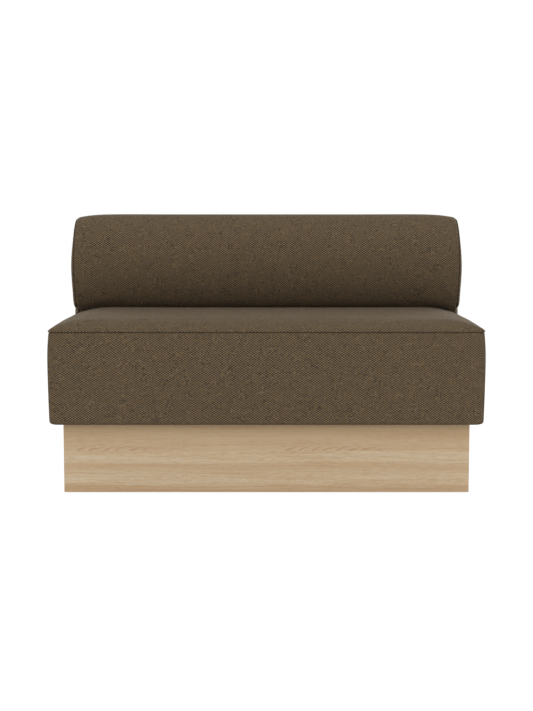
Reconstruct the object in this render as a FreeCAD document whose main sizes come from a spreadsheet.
import FreeCAD, Part
import Sketcher
import math
import os
from types import SimpleNamespace
from FreeCAD import Placement, Rotation, Vector

# Upholstered dining sofa: a box seat with a crowned top and a rolled back, on a recessed timber plinth.
# X runs along the sofa, the front faces -Y, Z is up and the origin is on the floor below the middle.

doc = FreeCAD.newDocument("dining_sofa")
sheet = doc.addObject("Spreadsheet::Sheet", "Sizes")

# Driving dimensions in millimetres, with the counts and shares
driving = [
    # whole sofa
    ("seat_width", 1200),
    ("sofa_depth", 660),
    ("cover_thickness", 2),
    ("soft_clearance", 0.3),
    ("overrun", 5),
    # plinth
    ("plinth_height", 195),
    ("plinth_recess", 38),
    ("plinth_board", 18),
    ("floor_gap", 3),
    ("stretcher_width", 90),
    ("stretcher_thickness", 18),
    ("cleat_side", 25),
    ("corner_block_side", 50),
    ("corner_block_height", 110),
    # levelling feet
    ("foot_pad_radius", 19),
    ("foot_pad_height", 7),
    ("foot_pad_slope", 3),
    ("foot_spigot_radius", 3),
    ("foot_spigot_length", 4),
    ("foot_bore_clearance", 0.05),
    ("foot_collar_width", 17),
    ("foot_collar_height", 5),
    ("foot_rod_radius", 5),
    ("foot_rod_length", 50),
    ("foot_gap", 0.3),
    ("foot_rod_hole_clearance", 0.6),
    ("insert_flange_radius", 12.5),
    ("insert_flange_thickness", 2),
    ("insert_radius", 7),
    ("insert_length", 25),
    # seat block
    ("seat_block_height", 256),
    ("crown_rise", 33),
    ("crown_roll", 125),
    ("side_draw", 4),
    ("seat_edge_radius", 14),
    ("seat_corner_radius", 18),
    ("corner_ease", 0.6),
    ("hem_width", 45),
    ("dust_cover_thickness", 1),
    ("dust_cover_inset", 22),
    # seat frame
    ("frame_inset", 20),
    ("rail_thickness", 25),
    ("rail_height", 110),
    ("cross_rail_width", 45),
    ("cross_rail_height", 45),
    ("cross_rail_margin", 175),
    ("seat_block_leg", 55),
    ("seat_block_rise", 80),
    # seat springs and fillings
    ("spring_count", 9),
    ("spring_margin", 75),
    ("spring_turns", 22),
    ("spring_wire_radius", 1.9),
    ("spring_leg", 26),
    ("clip_thickness", 1.2),
    ("clip_clearance", 0.15),
    ("clip_width", 18),
    ("clip_base", 11),
    ("clip_flap", 8),
    ("felt_thickness", 4),
    ("topper_thickness", 12),
    # back
    ("seat_back_gap", 1),
    ("neck_thickness", 105),
    ("roll_overhang", 125),
    ("roll_drop", 11),
    ("roll_height", 290),
    ("roll_top_flat", 20),
    ("roll_front_radius_share", 0.655),
    ("roll_top_radius_share", 0.33),
    ("roll_under_radius_share", 0.26),
    ("end_bulge", 21.5),
    ("end_pad_thickness", 20),
    ("front_foam", 50),
    ("top_foam", 40),
    ("under_foam", 40),
    ("neck_pad_thickness", 4),
    ("rear_wadding_thickness", 6),
    ("back_board", 4),
    ("rib_thickness", 18),
    ("inner_rib_share", 0.333),
    ("head_chamfer", 25),
    ("back_rail_thickness", 25),
    ("top_rail_width", 60),
    ("lumbar_rail_height", 65),
    # fasteners
    ("screw_radius", 2.25),
    ("screw_head_radius", 4.5),
    ("screw_head_height", 3),
    ("screw_tip", 6),
    ("short_screw_length", 40),
    ("long_screw_length", 60),
    ("screw_low_share", 0.25),
    ("screw_high_share", 0.75),
    ("screw_stagger_share", 0.13),
    ("screw_side_share", 0.3),
    ("bolt_radius", 4),
    ("bolt_clearance", 0.5),
    ("bolt_head_radius", 6.5),
    ("bolt_head_height", 8),
    ("bolt_key_radius", 3.2),
    ("bolt_key_depth", 4),
    ("bolt_protrusion", 4),
    ("back_bolt_inner_share", 0.25),
    ("washer_radius", 8),
    ("washer_thickness", 1.6),
    ("washer_clearance", 0.2),
    ("tee_flange_radius", 11),
    ("tee_flange_thickness", 1.5),
    ("tee_barrel_radius", 5),
    ("tee_barrel_length", 10),
    ("tee_thread_clearance", 0.05),
]
for row, (alias, value) in enumerate(driving, 1):
    sheet.set(f"A{row}", alias)
    sheet.set(f"B{row}", str(value))
    sheet.setAlias(f"B{row}", alias)
doc.recompute()

# The domed ends: how far in from the outline, in half neck thicknesses, and how far out, in end bulges
dome_inset_shares = (0, 0.2, 0.46, 0.88)
dome_rise_shares = (0, 0.26, 0.49, 0.7)


def words(value):
    return value.text if isinstance(value, Size) else str(value)


class Size:
    # A sum of the sheet's cells, which objects are bound to as text and code reads as a number
    def __init__(self, text):
        self.text = text

    def __float__(self):
        return float(sheet.evalExpression(self.text))

    def __add__(self, other):
        return Size(f"({self.text} + {words(other)})")

    def __radd__(self, other):
        return Size(f"({words(other)} + {self.text})")

    def __sub__(self, other):
        return Size(f"({self.text} - {words(other)})")

    def __rsub__(self, other):
        return Size(f"({words(other)} - {self.text})")

    def __mul__(self, other):
        return Size(f"({self.text} * {words(other)})")

    __rmul__ = __mul__

    def __truediv__(self, other):
        return Size(f"({self.text} / {words(other)})")

    def __neg__(self):
        return Size(f"(0 - {self.text})")

    def root(self):
        return Size(f"sqrt({self.text})")


size = SimpleNamespace(**{alias: Size(f"Sizes.{alias}") for alias, _ in driving})

# Places worked out from the driving dimensions
half_width = size.seat_width / 2
half_depth = size.sofa_depth / 2
soft_inset = size.cover_thickness + size.soft_clearance

plinth_half_width = half_width - size.plinth_recess
plinth_half_depth = half_depth - size.plinth_recess
inner_half_width = plinth_half_width - size.plinth_board
inner_half_depth = plinth_half_depth - size.plinth_board
foot_x = inner_half_width - size.corner_block_side / 2
foot_y = inner_half_depth - size.corner_block_side / 2
insert_bottom = size.foot_pad_height + size.foot_collar_height + size.foot_gap
block_bottom = insert_bottom + size.insert_flange_thickness
stretcher_bottom = size.plinth_height - size.stretcher_thickness

seat_bottom = size.plinth_height + size.dust_cover_thickness
seam_height = seat_bottom + size.seat_block_height
neck_front = half_depth - size.neck_thickness
seat_rear = neck_front - size.seat_back_gap
rail_bottom = seat_bottom + size.cover_thickness
rail_top = rail_bottom + size.rail_height
frame_half_width = half_width - size.frame_inset
frame_front = size.frame_inset - half_depth
frame_rear = seat_rear - size.cover_thickness
side_rail_front = frame_front + size.rail_thickness
side_rail_rear = frame_rear - size.rail_thickness
clip_inner_radius = size.spring_wire_radius + size.clip_clearance
clip_outer_radius = clip_inner_radius + size.clip_thickness
wire_height = rail_top + clip_outer_radius
felt_bottom = wire_height + clip_outer_radius
foam_bottom = felt_bottom + size.felt_thickness
cross_rail_top = rail_bottom + size.cross_rail_height

roll_bottom = seam_height + size.crown_rise - size.roll_drop
roll_front = neck_front - size.roll_overhang
sofa_height = roll_bottom + size.roll_height
end_seam = half_width - size.end_bulge
rib_outer = end_seam - size.end_pad_thickness
rib_inner = rib_outer - size.rib_thickness
front_radius = size.roll_height * size.roll_front_radius_share
top_radius = size.roll_height * size.roll_top_radius_share
under_radius = size.roll_height * size.roll_under_radius_share
front_centre = roll_front + front_radius


def roll_centre(radius):
    # Where a smaller arc, level with the roll's top or underside, meets the front arc smoothly
    between = front_radius - radius
    beside = size.roll_height / 2 - radius
    return front_centre - (between * between - beside * beside).root()


top_centre = roll_centre(top_radius)
under_centre = roll_centre(under_radius)
rear_radius = half_depth - top_centre - size.roll_top_flat

core_neck = neck_front + size.cover_thickness + size.neck_pad_thickness
board_rear = half_depth - size.cover_thickness - size.rear_wadding_thickness
core_rear = board_rear - size.back_board
core_top = sofa_height - size.top_foam
core_under = roll_bottom + size.under_foam
core_head = roll_front + size.front_foam
rear_chamfer = rear_radius - size.top_foam
top_rail_middle = (core_head + size.head_chamfer + core_rear - rear_chamfer) / 2
top_rail_front = top_rail_middle - size.top_rail_width / 2
top_rail_rear = top_rail_middle + size.top_rail_width / 2
lumbar_bottom = (core_top + core_under) / 2 - size.lumbar_rail_height / 2
lumbar_top = lumbar_bottom + size.lumbar_rail_height

frame_inner_x = frame_half_width - size.rail_thickness
cross_rail_x = frame_inner_x - size.cross_rail_margin
cross_places = (("left", -cross_rail_x), ("centre", 0), ("right", cross_rail_x))
corners = (("front_left", -1, -1), ("front_right", 1, -1), ("rear_left", -1, 1), ("rear_right", 1, 1))
heading = {
    "+x": Rotation(Vector(0, 0, 1), Vector(1, 0, 0)),
    "-x": Rotation(Vector(0, 0, 1), Vector(-1, 0, 0)),
    "+y": Rotation(Vector(0, 0, 1), Vector(0, 1, 0)),
    "-y": Rotation(Vector(0, 0, 1), Vector(0, -1, 0)),
    "+z": Rotation(),
    "-z": Rotation(Vector(1, 0, 0), 180),
}
parts = []


def part(item):
    item.Label = item.Name
    parts.append(item)
    return item


def bind(item, prop, value):
    item.setExpression(prop, words(value))


def place(item, x, y, z, turn=Rotation()):
    item.Placement = Placement(Vector(), turn)
    for axis, value in zip("xyz", (x, y, z)):
        bind(item, f"Placement.Base.{axis}", value)


def board(name, x, y, z):
    # A box between two places along each axis
    item = doc.addObject("Part::Box", name)
    for prop, (low, high) in zip(("Length", "Width", "Height"), (x, y, z)):
        bind(item, prop, high - low)
    place(item, x[0], y[0], z[0])
    return item


def rod(name, radius, length, x, y, z, turn):
    item = doc.addObject("Part::Cylinder", name)
    bind(item, "Radius", radius)
    bind(item, "Height", length)
    place(item, x, y, z, turn)
    return item


def drilled(name, blank, tools):
    cutters = doc.addObject("Part::Compound", f"{name}_holes")
    cutters.Links = tools
    item = doc.addObject("Part::Cut", name)
    item.Base = blank
    item.Tool = cutters
    return part(item)


def outline_sketch(body, role, name, points):
    # A closed outline of straight lines, each corner held by its two places
    sketch = body.newObject("Sketcher::SketchObject", name)
    plane = next(item for item in body.Origin.OriginFeatures if item.Role == role)
    sketch.AttachmentSupport = (plane, [""])
    sketch.MapMode = "FlatFace"
    places = [Vector(float(across), float(up), 0) for across, up in points]
    for start, end in zip(places, places[1:] + places[:1]):
        sketch.addGeometry(Part.LineSegment(start, end))
    for index, (across, up) in enumerate(points):
        before = (index - 1) % len(points)
        sketch.addConstraint(Sketcher.Constraint("Coincident", before, 2, index, 1))
        for kind, axis, value in (("DistanceX", -2, across), ("DistanceY", -1, up)):
            if isinstance(value, Size):
                number = sketch.addConstraint(Sketcher.Constraint(kind, -1, 1, index, 1, float(value)))
                bind(sketch, f"Constraints[{number}]", value)
            else:
                sketch.addConstraint(Sketcher.Constraint("PointOnObject", index, 1, axis))
    doc.recompute()
    return sketch


def turned(name, points):
    # A piece turned about its own Z axis from an outline of radii and heights
    body = doc.addObject("PartDesign::Body", name)
    sketch = outline_sketch(body, "XZ_Plane", f"{name}_outline", points)
    turn = body.newObject("PartDesign::Revolution", f"{name}_turn")
    turn.Profile = sketch
    turn.ReferenceAxis = (sketch, ["V_Axis"])
    turn.Angle = 360
    return body


def sawn(name, role, points, thickness):
    # A flat piece cut to an outline
    body = doc.addObject("PartDesign::Body", name)
    sketch = outline_sketch(body, role, f"{name}_outline", points)
    pad = body.newObject("PartDesign::Pad", f"{name}_pad")
    pad.Profile = sketch
    bind(pad, "Length", thickness)
    return body


def group(name, master, places):
    # Copies of one piece, each at a place and a turn
    copies = []
    for index, (x, y, z, turn) in enumerate(places, 1):
        copy = doc.addObject("App::Link", f"{name}_{index}")
        copy.LinkedObject = master
        place(copy, x, y, z, turn)
        copies.append(copy)
    item = doc.addObject("Part::Compound", name)
    item.Links = copies
    return part(item)


def formed(name, shape):
    item = doc.addObject("Part::Feature", name)
    item.Shape = shape
    return part(item)


# Fasteners: each points its head along +Z, with its bearing face at zero
def wood_screw(name, length):
    return turned(name, [
        (0, -length), (size.screw_radius, size.screw_tip - length),
        (size.screw_radius, -size.screw_head_height), (size.screw_head_radius, 0), (0, 0)])


def machine_bolt(name, length):
    return turned(name, [
        (0, -length), (size.bolt_radius, -length), (size.bolt_radius, 0), (size.bolt_head_radius, 0),
        (size.bolt_head_radius, size.bolt_head_height), (size.bolt_key_radius, size.bolt_head_height),
        (size.bolt_key_radius, size.bolt_head_height - size.bolt_key_depth),
        (0, size.bolt_head_height - size.bolt_key_depth)])


base_bolt_length = (size.washer_thickness + size.stretcher_thickness + size.dust_cover_thickness
                    + size.cover_thickness + size.cross_rail_height + size.tee_flange_thickness
                    + size.bolt_protrusion)
back_bolt_length = (size.washer_thickness + size.rail_thickness + size.cover_thickness * 2
                    + size.seat_back_gap + size.neck_pad_thickness + size.back_rail_thickness
                    + size.tee_flange_thickness + size.bolt_protrusion)
short_screw = wood_screw("short_screw", size.short_screw_length)
long_screw = wood_screw("long_screw", size.long_screw_length)
base_bolt = machine_bolt("base_bolt", base_bolt_length)
back_bolt = machine_bolt("back_bolt", back_bolt_length)
washer_bore = size.bolt_radius + size.washer_clearance
washer = turned("washer", [
    (washer_bore, 0), (size.washer_radius, 0), (size.washer_radius, size.washer_thickness),
    (washer_bore, size.washer_thickness)])
tee_bore = size.bolt_radius + size.tee_thread_clearance
tee_nut = turned("tee_nut", [
    (tee_bore, -size.tee_barrel_length), (size.tee_barrel_radius, -size.tee_barrel_length),
    (size.tee_barrel_radius, 0), (size.tee_flange_radius, 0),
    (size.tee_flange_radius, size.tee_flange_thickness), (tee_bore, size.tee_flange_thickness)])

screw_shares = (size.screw_low_share, size.screw_high_share)
base_bolt_places = [(x, side_rail_front + (side_rail_rear - side_rail_front) * share)
                    for _, x in cross_places for share in screw_shares]
outer_bay = (cross_rail_x + size.cross_rail_width / 2, frame_inner_x - size.seat_block_leg)
back_bolt_columns = (cross_rail_x * size.back_bolt_inner_share, (outer_bay[0] + outer_bay[1]) / 2)
back_bolt_places = [(side * x, rail_bottom + size.rail_height * share)
                    for x in back_bolt_columns for side in (-1, 1) for share in screw_shares]
fixing_rail_rear = core_neck + size.back_rail_thickness

group("base_bolts", base_bolt, [
    (x, y, stretcher_bottom - size.washer_thickness, heading["-z"]) for x, y in base_bolt_places])
group("back_bolts", back_bolt, [
    (x, side_rail_rear - size.washer_thickness, z, heading["-y"]) for x, z in back_bolt_places])
group("bolt_washers", washer, [
    (x, y, stretcher_bottom, heading["-z"]) for x, y in base_bolt_places] + [
    (x, side_rail_rear, z, heading["-y"]) for x, z in back_bolt_places])
tee_nuts = group("tee_nuts", tee_nut, [
    (x, y, cross_rail_top, heading["+z"]) for x, y in base_bolt_places] + [
    (x, fixing_rail_rear, z, heading["+y"]) for x, z in back_bolt_places])

bolt_hole_radius = size.bolt_radius + size.bolt_clearance
base_holes = [
    rod(f"base_hole_{index}", bolt_hole_radius, base_bolt_length + size.overrun * 2, x, y,
        stretcher_bottom - size.overrun, heading["+z"])
    for index, (x, y) in enumerate(base_bolt_places, 1)]
back_holes = [
    rod(f"back_hole_{index}", bolt_hole_radius, back_bolt_length + size.overrun * 2, x,
        side_rail_rear - size.overrun, z, heading["+y"])
    for index, (x, z) in enumerate(back_bolt_places, 1)]

cleat_middle = inner_half_depth - size.cleat_side / 2
side_rail_middle = frame_half_width - size.rail_thickness / 2
cross_rail_middle = rail_bottom + size.cross_rail_height / 2
short_places = [(x, side * cleat_middle, size.plinth_height, heading["+z"])
                for _, x in cross_places for side in (-1, 1)]
for face, toward in ((frame_front, "-y"), (frame_rear, "+y")):
    for _, x in cross_places:
        short_places.append((x, face, cross_rail_middle, heading[toward]))
    for side in (-1, 1):
        for share in screw_shares:
            short_places.append((side * side_rail_middle, face, rail_bottom + size.rail_height * share,
                                 heading[toward]))
for side, toward in ((-1, "-x"), (1, "+x")):
    for share in screw_shares:
        short_places += [
            (side * rib_outer, core_neck + size.back_rail_thickness / 2,
             rail_bottom + size.rail_height * share, heading[toward]),
            (side * rib_outer, core_head + size.back_rail_thickness / 2,
             lumbar_bottom + size.lumbar_rail_height * share, heading[toward]),
            (side * rib_outer, top_rail_front + size.top_rail_width * share,
             core_top - size.back_rail_thickness / 2, heading[toward])]
short_screws = group("short_screws", short_screw, short_places)

block_face_x = inner_half_width - size.corner_block_side
block_face_y = inner_half_depth - size.corner_block_side
block_screw_offset = size.corner_block_side * size.screw_side_share
long_places = []
for _, x_sign, y_sign in corners:
    for share in screw_shares:
        low = block_bottom + size.corner_block_height * share
        high = low + size.corner_block_height * size.screw_stagger_share
        long_places += [
            (x_sign * block_face_x, y_sign * (foot_y - block_screw_offset), low,
             heading["-x" if x_sign > 0 else "+x"]),
            (x_sign * (foot_x - block_screw_offset), y_sign * block_face_y, high,
             heading["-y" if y_sign > 0 else "+y"])]
long_screws = group("long_screws", long_screw, long_places)

# Plinth: four mitred boards, stretchers on cleats, and a block behind each corner
panel_height = size.plinth_height - size.floor_gap
for index, (name, corner_x, corner_y, length) in enumerate((
        ("front", -plinth_half_width, -plinth_half_depth, plinth_half_width * 2),
        ("right", plinth_half_width, -plinth_half_depth, plinth_half_depth * 2),
        ("rear", plinth_half_width, plinth_half_depth, plinth_half_width * 2),
        ("left", -plinth_half_width, plinth_half_depth, plinth_half_depth * 2))):
    blank = sawn(f"plinth_{name}_blank", "XY_Plane", [
        (0, 0), (length, 0), (length - size.plinth_board, size.plinth_board),
        (size.plinth_board, size.plinth_board)], panel_height)
    place(blank, corner_x, corner_y, size.floor_gap, Rotation(Vector(0, 0, 1), 90 * index))
    drilled(f"plinth_{name}_panel", blank, [long_screws])

cleat_z = (stretcher_bottom - size.cleat_side, stretcher_bottom)
for name, y in (("front", (-inner_half_depth, size.cleat_side - inner_half_depth)),
                ("rear", (inner_half_depth - size.cleat_side, inner_half_depth))):
    drilled(f"plinth_cleat_{name}",
            board(f"plinth_cleat_{name}_blank", (-block_face_x, block_face_x), y, cleat_z), [short_screws])
for name, x in cross_places:
    drilled(f"plinth_stretcher_{name}",
            board(f"plinth_stretcher_{name}_blank",
                  (x - size.stretcher_width / 2, x + size.stretcher_width / 2),
                  (-inner_half_depth, inner_half_depth), (stretcher_bottom, size.plinth_height)),
            [short_screws] + base_holes)

insert = turned("insert", [
    (size.foot_rod_radius + size.foot_bore_clearance, 0), (size.insert_flange_radius, 0),
    (size.insert_flange_radius, size.insert_flange_thickness),
    (size.insert_radius, size.insert_flange_thickness),
    (size.insert_radius, size.insert_flange_thickness + size.insert_length),
    (size.foot_rod_radius + size.foot_bore_clearance, size.insert_flange_thickness + size.insert_length)])
corner_places = [(x_sign * foot_x, y_sign * foot_y) for _, x_sign, y_sign in corners]
inserts = group("foot_inserts", insert, [(x, y, insert_bottom, heading["+z"]) for x, y in corner_places])

corner_blanks = []
rod_holes = []
for name, (x, y) in zip((corner[0] for corner in corners), corner_places):
    corner_blanks.append(board(
        f"corner_block_{name}", (x - size.corner_block_side / 2, x + size.corner_block_side / 2),
        (y - size.corner_block_side / 2, y + size.corner_block_side / 2),
        (block_bottom, block_bottom + size.corner_block_height)))
    rod_holes.append(rod(
        f"rod_hole_{name}", size.foot_rod_radius + size.foot_rod_hole_clearance,
        size.corner_block_height + size.overrun * 2, x, y, block_bottom - size.overrun, heading["+z"]))
corner_stock = doc.addObject("Part::Compound", "corner_stock")
corner_stock.Links = corner_blanks
drilled("plinth_corner_blocks", corner_stock, [inserts, long_screws] + rod_holes)

# Levelling feet: a pad that stays still on the floor and a threaded stem with a hexagonal collar
bore_radius = size.foot_spigot_radius + size.foot_bore_clearance
bore_bottom = size.foot_pad_height - size.foot_spigot_length - size.foot_gap
collar_reach = size.foot_collar_width / Size("sqrt(3)")
collar_side = size.foot_collar_width / 2
for name, x_sign, y_sign in corners:
    foot_pad = part(turned(f"foot_pad_{name}", [
        (0, 0), (size.foot_pad_radius, 0), (size.foot_pad_radius, size.foot_pad_slope),
        (size.foot_pad_radius - size.foot_pad_slope, size.foot_pad_height),
        (bore_radius, size.foot_pad_height), (bore_radius, bore_bottom), (0, bore_bottom)]))
    place(foot_pad, x_sign * foot_x, y_sign * foot_y, 0)
    stem = part(turned(f"foot_stem_{name}", [
        (0, -size.foot_spigot_length), (size.foot_spigot_radius, -size.foot_spigot_length),
        (size.foot_spigot_radius, 0), (size.foot_rod_radius, 0),
        (size.foot_rod_radius, size.foot_collar_height + size.foot_rod_length),
        (0, size.foot_collar_height + size.foot_rod_length)]))
    collar_outline = outline_sketch(stem, "XY_Plane", f"foot_collar_{name}_outline", [
        (collar_reach, 0), (collar_reach / 2, collar_side), (-collar_reach / 2, collar_side),
        (-collar_reach, 0), (-collar_reach / 2, -collar_side), (collar_reach / 2, -collar_side)])
    collar = stem.newObject("PartDesign::Pad", f"foot_collar_{name}")
    collar.Profile = collar_outline
    bind(collar, "Length", size.foot_collar_height)
    place(stem, x_sign * foot_x, y_sign * foot_y, size.foot_pad_height)

# Seat frame: rails, cross rails and glued corner pieces
rail_z = (rail_bottom, rail_top)
full_x = (-frame_half_width, frame_half_width)
drilled("seat_front_rail",
        board("seat_front_rail_blank", full_x, (frame_front, side_rail_front), rail_z), [short_screws])
drilled("seat_rear_rail",
        board("seat_rear_rail_blank", full_x, (side_rail_rear, frame_rear), rail_z),
        [short_screws] + back_holes)
side_y = (side_rail_front, side_rail_rear)
for name, x in (("left", (-frame_half_width, size.rail_thickness - frame_half_width)),
                ("right", (frame_half_width - size.rail_thickness, frame_half_width))):
    drilled(f"seat_{name}_rail", board(f"seat_{name}_rail_blank", x, side_y, rail_z), [short_screws])
for name, x in cross_places:
    drilled(f"seat_cross_rail_{name}",
            board(f"seat_cross_rail_{name}_blank",
                  (x - size.cross_rail_width / 2, x + size.cross_rail_width / 2), side_y,
                  (rail_bottom, cross_rail_top)),
            [short_screws, tee_nuts] + base_holes)
brace = sawn("seat_brace", "XY_Plane", [(0, 0), (size.seat_block_leg, 0), (0, size.seat_block_leg)],
             size.seat_block_rise)
group("seat_corner_blocks", brace, [
    (x, y, rail_bottom, Rotation(Vector(0, 0, 1), 90 * index)) for index, (x, y) in enumerate((
        (-frame_inner_x, side_rail_front), (frame_inner_x, side_rail_front),
        (frame_inner_x, side_rail_rear), (-frame_inner_x, side_rail_rear)))])


# Seat springs: flat zigzags of wire from the front rail to the rear rail, held in sheet clips
def line(start, end):
    return Part.LineSegment(start, end).toShape()


def arc(start, through, end):
    return Part.Arc(start, through, end).toShape()


spring_front = (frame_front + side_rail_front) / 2
spring_rear = (frame_rear + side_rail_rear) / 2
spring_outer = frame_inner_x - size.spring_margin
spring_gaps = size.spring_count - 1
spring_places = [spring_outer * (index * 2 - spring_gaps) / spring_gaps
                 for index in range(int(float(size.spring_count)))]


def zigzag_spring():
    turns = int(float(size.spring_turns))
    pitch = float((spring_rear - spring_front) / size.spring_turns)
    reach = float(size.spring_leg) / 2
    height = float(wire_height)
    edges = []
    for turn in range(turns + 1):
        way = 1 if turn % 2 == 0 else -1
        y = float(spring_front) + pitch * turn
        end = Vector(way * reach, y, height)
        edges.append(line(Vector(-way * reach, y, height), end))
        if turn < turns:
            crest = Vector(way * (reach + pitch / 2), y + pitch / 2, height)
            edges.append(arc(end, crest, end + Vector(0, pitch, 0)))
    path = Part.Wire(edges)
    section = Part.Wire(Part.Circle(edges[0].firstVertex().Point, Vector(1, 0, 0),
                                    float(size.spring_wire_radius)).toShape())
    return path.makePipeShell([section], True, False)


spring = zigzag_spring()
formed("seat_springs", Part.Compound([
    spring.translated(Vector(float(x), 0, 0)) for x in spring_places]))

clip_x = (-size.clip_width / 2, size.clip_width / 2)
clip_base = board("clip_base_plate", clip_x, (-size.clip_base, Size("0")),
                  (-clip_outer_radius, -clip_inner_radius))
clip_flap = board("clip_flap_plate", clip_x, (-size.clip_flap, Size("0")),
                  (clip_inner_radius, clip_outer_radius))
clip_round = rod("clip_round", clip_outer_radius, size.clip_width, clip_x[0], 0, 0, heading["+x"])
clip_round.Angle = 180
clip_bore = rod("clip_bore", clip_inner_radius, size.clip_width + size.overrun * 2,
                clip_x[0] - size.overrun, 0, 0, heading["+x"])
clip_loop = doc.addObject("Part::Cut", "clip_loop")
clip_loop.Base = clip_round
clip_loop.Tool = clip_bore
spring_clip = doc.addObject("Part::MultiFuse", "spring_clip")
spring_clip.Shapes = [clip_base, clip_flap, clip_loop]
group("spring_clips", spring_clip, [
    (x, spring_front, wire_height, Rotation()) for x in spring_places] + [
    (x, spring_rear, wire_height, Rotation(Vector(0, 0, 1), 180)) for x in spring_places])
part(board("spring_felt", full_x, (frame_front, frame_rear), (felt_bottom, foam_bottom)))


# Seat upholstery: one form, drawn in to its seam and crowned above it
def crown_points(edge, inward, seam):
    # Three points of the arc from the seam up to where the crown levels out
    roll = float(size.crown_roll)
    rise = float(size.crown_rise)
    radius = (roll ** 2 + rise ** 2) / (2 * rise)
    half_angle = math.asin(roll / radius) / 2
    level = edge + inward * roll
    middle = (level - inward * radius * math.sin(half_angle),
              seam + rise - radius * (1 - math.cos(half_angle)))
    return (edge, seam), middle, (level, seam + rise)


def seat_side(edge, inward, draw, radius, bottom, seam):
    # One side of the seat's section as runs of points, from its bottom to the level of its crown
    if draw == 0:
        runs = [((edge, bottom), (edge, seam))]
        drawn = edge
    else:
        drawn = edge + inward * draw
        turn = radius * (1 - math.sqrt(0.5))
        runs = [((drawn + inward * radius, bottom), (drawn + inward * turn, bottom + turn),
                 (drawn, bottom + radius)),
                ((drawn, bottom + radius), (edge, (bottom + radius + seam) / 2), (drawn, seam))]
    return runs + [crown_points(drawn, inward, seam)]


def section_face(low_runs, high_runs, spot):
    # A face from the runs of both sides, joined by straight lines below and above
    runs = [tuple(reversed(run)) for run in reversed(low_runs)]
    runs += [(low_runs[0][0], high_runs[0][0])] + high_runs
    runs += [(high_runs[-1][-1], low_runs[-1][-1])]
    edges = [line(*map(spot, run)) if len(run) == 2 else arc(*map(spot, run)) for run in runs]
    return Part.Face(Part.Wire(edges))


def across_x(point):
    return Vector(0, *point)


def across_y(point):
    return Vector(point[0], 0, point[1])


def seat_form(inset):
    inset = float(inset)
    overrun = float(size.overrun)
    width = float(half_width) - inset
    front = inset - float(half_depth)
    rear = float(seat_rear) - inset
    bottom = float(seat_bottom) + inset
    seam = float(seam_height) - inset
    draw = float(size.side_draw)
    radius = float(size.seat_edge_radius) - inset
    along = section_face(seat_side(-width, 1, draw, radius, bottom, seam),
                         seat_side(width, -1, draw, radius, bottom, seam), across_y)
    along.translate(Vector(0, front - overrun, 0))
    long_form = along.extrude(Vector(0, rear - front + overrun * 2, 0))
    through = section_face(seat_side(front, 1, draw, radius, bottom, seam),
                           seat_side(rear, -1, 0, 0, bottom, seam), across_x)
    through.translate(Vector(-width - overrun, 0, 0))
    deep_form = through.extrude(Vector(width * 2 + overrun * 2, 0, 0))
    return long_form.common(deep_form).common(seat_plan(width, front, rear, bottom, inset))


def seat_plan(width, front, rear, bottom, inset):
    # The plan's rounded front corners stand a little proud of the sides, so that only the corners are cut
    overrun = float(size.overrun)
    ease = float(size.corner_ease)
    radius = float(size.seat_corner_radius) - inset
    reach = radius + ease
    turn = reach * math.sqrt(0.5)
    right = Vector(width - radius, front + radius, bottom - overrun)
    left = Vector(-width + radius, front + radius, bottom - overrun)
    back = rear + overrun - front - radius
    edges = [
        line(left + Vector(0, -reach, 0), right + Vector(0, -reach, 0)),
        arc(right + Vector(0, -reach, 0), right + Vector(turn, -turn, 0), right + Vector(reach, 0, 0)),
        line(right + Vector(reach, 0, 0), right + Vector(reach, back, 0)),
        line(right + Vector(reach, back, 0), left + Vector(-reach, back, 0)),
        line(left + Vector(-reach, back, 0), left + Vector(-reach, 0, 0)),
        arc(left + Vector(-reach, 0, 0), left + Vector(-turn, -turn, 0), left + Vector(0, -reach, 0))]
    height = float(size.seat_block_height + size.crown_rise) + overrun * 2
    return Part.Face(Part.Wire(edges)).extrude(Vector(0, 0, height))


def under_crown(inset, drop):
    # Everything below the crown moved down, out past the seat's sides
    overrun = float(size.overrun)
    inset = float(inset)
    bottom = float(seat_bottom)
    seam = float(seam_height) - inset - float(drop)
    draw = float(size.side_draw)

    def side(edge, inward, drawn):
        outer = edge - inward * overrun
        ridge = edge + inward * drawn
        return [((outer, bottom), (outer, seam)), ((outer, seam), (ridge, seam)),
                crown_points(ridge, inward, seam)]

    width = float(half_width) - inset
    front = inset - float(half_depth)
    rear = float(seat_rear) - inset
    along = section_face(side(-width, 1, draw), side(width, -1, draw), across_y)
    along.translate(Vector(0, front - overrun, 0))
    through = section_face(side(front, 1, draw), side(rear, -1, -overrun / 2), across_x)
    through.translate(Vector(-width - overrun, 0, 0))
    return along.extrude(Vector(0, rear - front + overrun * 2, 0)).common(
        through.extrude(Vector(width * 2 + overrun * 2, 0, 0)))


def block(x, y, z):
    # A plain box between places, for cutting formed shapes
    low = Vector(float(x[0]), float(y[0]), float(z[0]))
    reach = Vector(float(x[1]), float(y[1]), float(z[1])) - low
    return Part.makeBox(reach.x, reach.y, reach.z, low)


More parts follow.
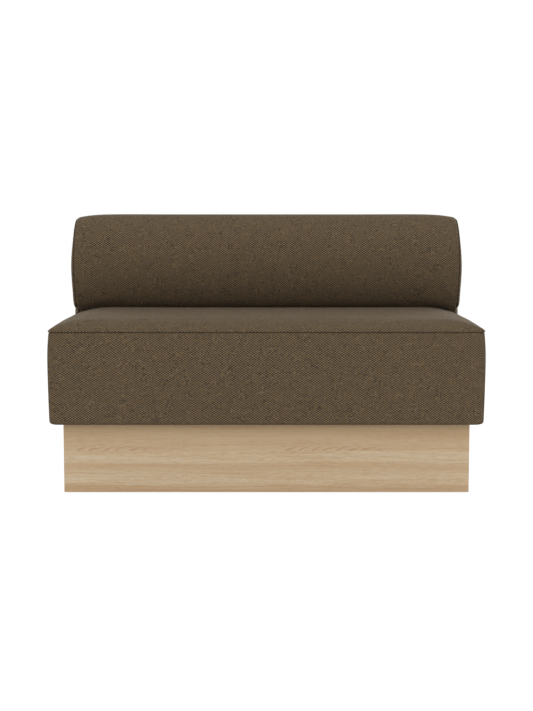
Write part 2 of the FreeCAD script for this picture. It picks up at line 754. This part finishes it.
doc.recompute()
seat_shell = seat_form(0).cut(seat_form(size.cover_thickness))
wide_x = (-half_width - size.overrun, half_width + size.overrun)
deep_y = (-half_depth - size.overrun, half_depth + size.overrun)
above_seam = block(wide_x, deep_y, (seam_height, sofa_height))
hem_opening = block((size.hem_width - half_width, half_width - size.hem_width),
                    (size.hem_width - half_depth, seat_rear - size.hem_width),
                    (seat_bottom - size.overrun, seat_bottom + size.overrun))
back_bolt_bores = Part.Compound([item.Shape for item in back_holes])
formed("seat_top_cover", seat_shell.common(above_seam))
formed("seat_band_cover", seat_shell.cut(above_seam).cut(hem_opening).cut(back_bolt_bores))
drilled("seat_dust_cover", board(
    "seat_dust_cover_blank", (size.dust_cover_inset - half_width, half_width - size.dust_cover_inset),
    (size.dust_cover_inset - half_depth, half_depth - size.dust_cover_inset),
    (size.plinth_height, seat_bottom)), base_holes)

filling = seat_form(soft_inset)
upper_filling = filling.common(block(wide_x, deep_y, (foam_bottom, sofa_height)))
foam_limit = under_crown(soft_inset, size.topper_thickness)
formed("seat_foam", upper_filling.common(foam_limit))
formed("seat_topper", upper_filling.cut(foam_limit))
frame_space = block(full_x, (frame_front, half_depth), (seat_bottom, foam_bottom))
formed("seat_edge_padding", filling.common(
    block(wide_x, deep_y, (seat_bottom, foam_bottom))).cut(frame_space))


# Back: one outline of a roll on a narrow neck, moved in for each layer
def back_outline(inset, x):
    inset = float(inset)
    x = float(x)
    rear = float(half_depth) - inset
    neck = float(neck_front) + inset
    bottom = float(seat_bottom) + inset
    under = float(roll_bottom) + inset
    top = float(sofa_height) - inset
    front = Vector(x, float(front_centre), (float(sofa_height) + float(roll_bottom)) / 2)
    upper = Vector(x, float(top_centre), float(sofa_height) - float(top_radius))
    lower = Vector(x, float(under_centre), float(roll_bottom) + float(under_radius))
    rear_arc = float(rear_radius) - inset
    corner = Vector(x, rear - rear_arc, top - rear_arc)

    def meeting(centre):
        # Where the front arc passes into the arc about this centre
        way = (centre - front).normalize()
        return front + way * (float(front_radius) - inset)

    def between(centre, start, end):
        # The middle of the arc about a centre
        way = (start + end) * 0.5 - centre
        return centre + way.normalize() * (start - centre).Length

    under_end = Vector(x, lower.y, under)
    under_start = meeting(lower)
    top_start = meeting(upper)
    top_end = Vector(x, upper.y, top)
    rear_start = Vector(x, corner.y, top)
    rear_end = Vector(x, rear, corner.z)
    feet = [Vector(x, rear, bottom), Vector(x, neck, bottom), Vector(x, neck, under)]
    return Part.Wire([
        arc(under_start, between(front, under_start, top_start), top_start),
        arc(top_start, between(upper, top_start, top_end), top_end),
        line(top_end, rear_start),
        arc(rear_start, between(corner, rear_start, rear_end), rear_end),
        line(rear_end, feet[0]), line(feet[0], feet[1]), line(feet[1], feet[2]), line(feet[2], under_end),
        arc(under_end, between(lower, under_end, under_start), under_start)])


def back_bar(inset, reach):
    # The outline carried along the sofa, from one place to its mirror
    face = Part.Face(back_outline(inset, -reach))
    return face.extrude(Vector(float(reach) * 2, 0, 0))


def back_dome(inset, start):
    # The right end: straight from its start, then domed beyond the end seam
    rings = [back_outline(inset, start)]
    for inward, outward in zip(dome_inset_shares, dome_rise_shares):
        rings.append(back_outline(inset + size.neck_thickness / 2 * inward,
                                  end_seam - inset + size.end_bulge * outward))
    return Part.makeLoft(rings, True, True)


def mirrored(shape):
    return shape.mirror(Vector(), Vector(1, 0, 0))


cover_inset = size.cover_thickness
formed("back_cover", back_bar(Size("0"), end_seam).cut(
    back_bar(cover_inset, end_seam + size.overrun)).cut(back_bolt_bores))
beyond_seam = block((end_seam, half_width + size.overrun), deep_y, (Size("0"), sofa_height + size.overrun))
end_cover = back_dome(Size("0"), end_seam - size.overrun).common(beyond_seam).cut(
    back_dome(cover_inset, end_seam - size.end_pad_thickness))
end_pad = back_dome(soft_inset, rib_outer)
for name, change in (("left", mirrored), ("right", Part.Shape.copy)):
    formed(f"back_end_cover_{name}", change(end_cover))
    formed(f"back_end_pad_{name}", change(end_pad))

# Back frame: four sawn ribs, three rails and two thin boards
end_rib_points = [
    (core_neck, rail_bottom), (core_rear, rail_bottom), (core_rear, core_top - rear_chamfer),
    (core_rear - rear_chamfer, core_top), (core_head + size.head_chamfer, core_top),
    (core_head, core_top - size.head_chamfer), (core_head, core_under + size.head_chamfer),
    (core_head + size.head_chamfer, core_under), (core_neck, core_under)]
lumbar_rear = core_head + size.back_rail_thickness
top_rail_bottom = core_top - size.back_rail_thickness
inner_rib_points = [
    (fixing_rail_rear, rail_bottom), *end_rib_points[1:4],
    (top_rail_rear, core_top), (top_rail_rear, top_rail_bottom), (top_rail_front, top_rail_bottom),
    (top_rail_front, core_top), *end_rib_points[4:6],
    (core_head, lumbar_top), (lumbar_rear, lumbar_top), (lumbar_rear, lumbar_bottom),
    (core_head, lumbar_bottom), *end_rib_points[6:9],
    (core_neck, rail_top), (fixing_rail_rear, rail_top)]
rib_half = size.rib_thickness / 2
inner_rib_x = (rib_outer - rib_half) * size.inner_rib_share
for name, points, x in (
        ("left_end", end_rib_points, -rib_outer), ("left", inner_rib_points, -inner_rib_x - rib_half),
        ("right", inner_rib_points, inner_rib_x - rib_half), ("right_end", end_rib_points, rib_inner)):
    rib = sawn(f"back_rib_{name}_blank", "YZ_Plane", points, size.rib_thickness)
    place(rib, x, 0, 0)
    drilled(f"back_rib_{name}", rib, [short_screws])

between_x = (-rib_inner, rib_inner)
drilled("back_fixing_rail",
        board("back_fixing_rail_blank", between_x, (core_neck, fixing_rail_rear), rail_z),
        [short_screws, tee_nuts] + back_holes)
drilled("back_lumbar_rail",
        board("back_lumbar_rail_blank", between_x, (core_head, lumbar_rear), (lumbar_bottom, lumbar_top)),
        [short_screws])
drilled("back_top_rail",
        board("back_top_rail_blank", between_x, (top_rail_front, top_rail_rear),
              (top_rail_bottom, core_top)),
        [short_screws])
rib_x = (-rib_outer, rib_outer)
rear_board_z = (rail_bottom, core_top - rear_chamfer)
front_board_z = (core_under + size.head_chamfer, core_top - size.head_chamfer)
front_board_y = (core_head - size.back_board, core_head)
part(board("back_rear_board", rib_x, (core_rear, board_rear), rear_board_z))
part(board("back_front_board", rib_x, front_board_y, front_board_z))

# Back fillings: foam round the roll, a thin pad down the neck and wadding down the rear
core_wire = Part.makePolygon([
    Vector(-float(rib_outer + size.overrun), float(y), float(z))
    for y, z in end_rib_points + end_rib_points[:1]])
core = Part.Face(core_wire).extrude(Vector(float(rib_outer + size.overrun) * 2, 0, 0))
long_x = (-rib_outer - size.overrun, rib_outer + size.overrun)
roll_foam_bottom = roll_bottom + soft_inset
roll_space = block(long_x, deep_y, (roll_foam_bottom, sofa_height))
formed("back_roll_foam", back_bar(soft_inset, rib_outer).common(roll_space).cut(core).cut(
    block(long_x, (core_rear, board_rear), rear_board_z)).cut(block(long_x, front_board_y, front_board_z)))
pad_z = (seat_bottom + soft_inset, roll_foam_bottom)
drilled("back_neck_pad", board("back_neck_pad_blank", rib_x, (neck_front + soft_inset, core_neck), pad_z),
        back_holes)
part(board("back_rear_wadding", rib_x, (board_rear, half_depth - soft_inset), pad_z))

# Every object is checked before anything is written
doc.recompute()
for item in doc.Objects:
    if "Invalid" in item.State or "Error" in item.State:
        raise RuntimeError(f"{item.Name} failed: {item.State}")
for item in parts:
    if item.Shape.isNull() or not item.Shape.isValid() or not item.Shape.Solids:
        raise RuntimeError(f"{item.Label} has no sound solid")
os.makedirs("parts", exist_ok=True)
for item in parts:
    item.Shape.exportStep(f"parts/{item.Label}.step")
print(f"{len(parts)} sub-parts written")
